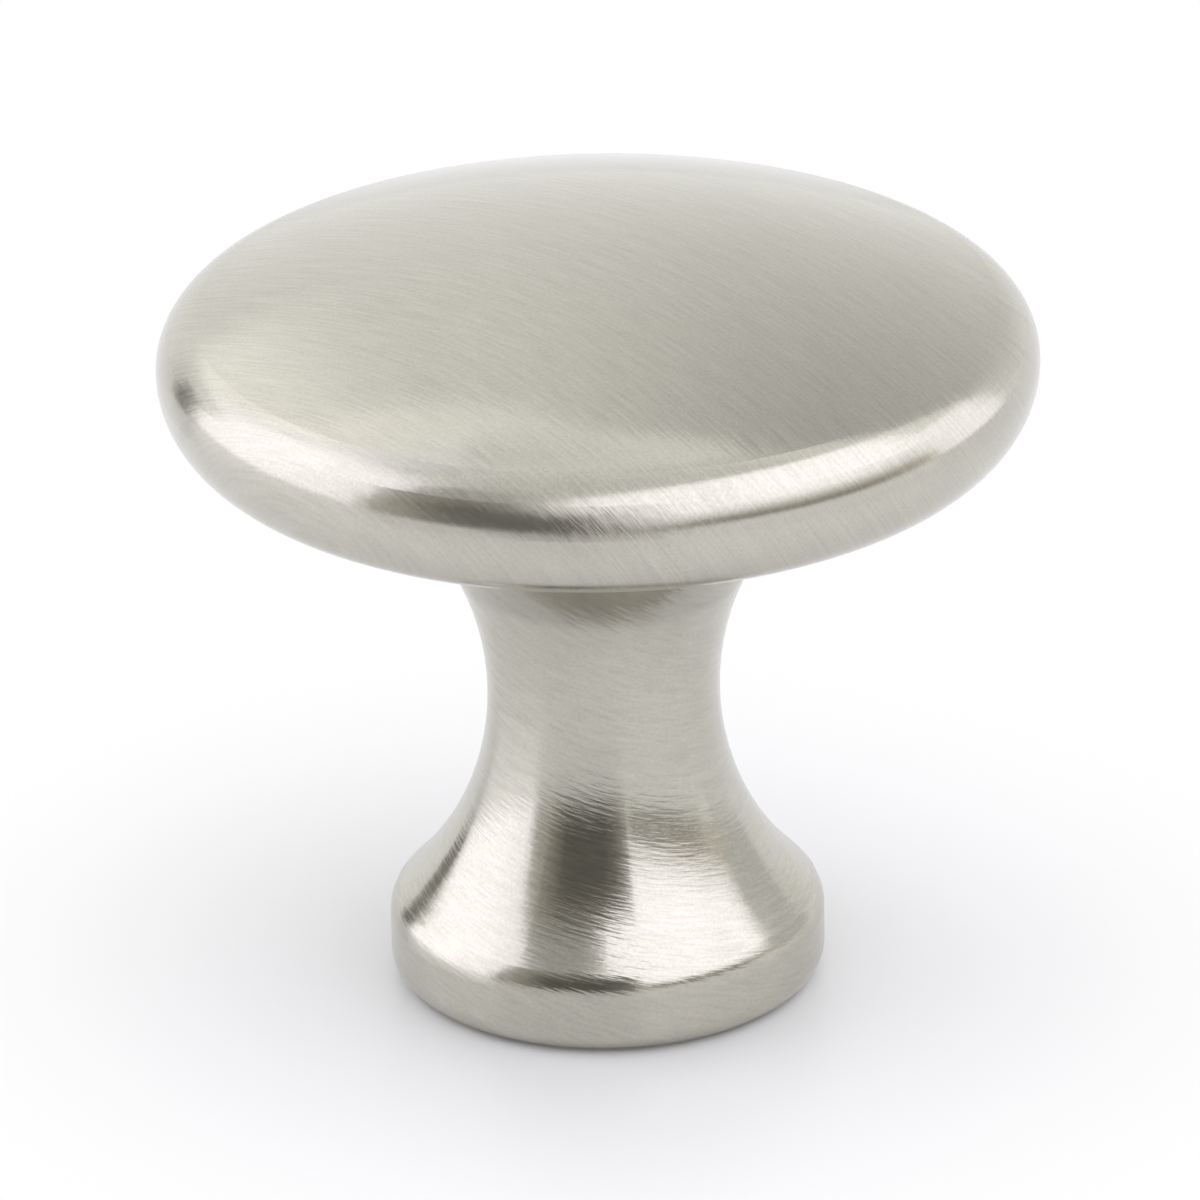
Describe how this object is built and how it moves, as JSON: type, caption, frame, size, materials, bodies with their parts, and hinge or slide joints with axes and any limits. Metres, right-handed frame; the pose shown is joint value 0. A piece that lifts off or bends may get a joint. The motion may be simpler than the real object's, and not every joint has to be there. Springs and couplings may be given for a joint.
{
  "type": "cabinet knob",
  "caption": "Round mushroom-shaped cabinet knob with a shallow domed head, a hollow-waisted neck, a flared foot and a tapped hole in its base, in satin nickel.",
  "frame": {"origin": "centre of the seating face, where the foot meets the door or drawer front", "axes": "+Z along the knob's axis, from the seating face towards the head; round about that axis, so X and Y are free"},
  "size_m": [0.0318, 0.0318, 0.0286],
  "materials": {
    "satin_nickel": "satin nickel plate, lightly brushed"
  },
  "bodies": {
    "root": {"knob": "satin_nickel"}
  },
  "joints": []
}
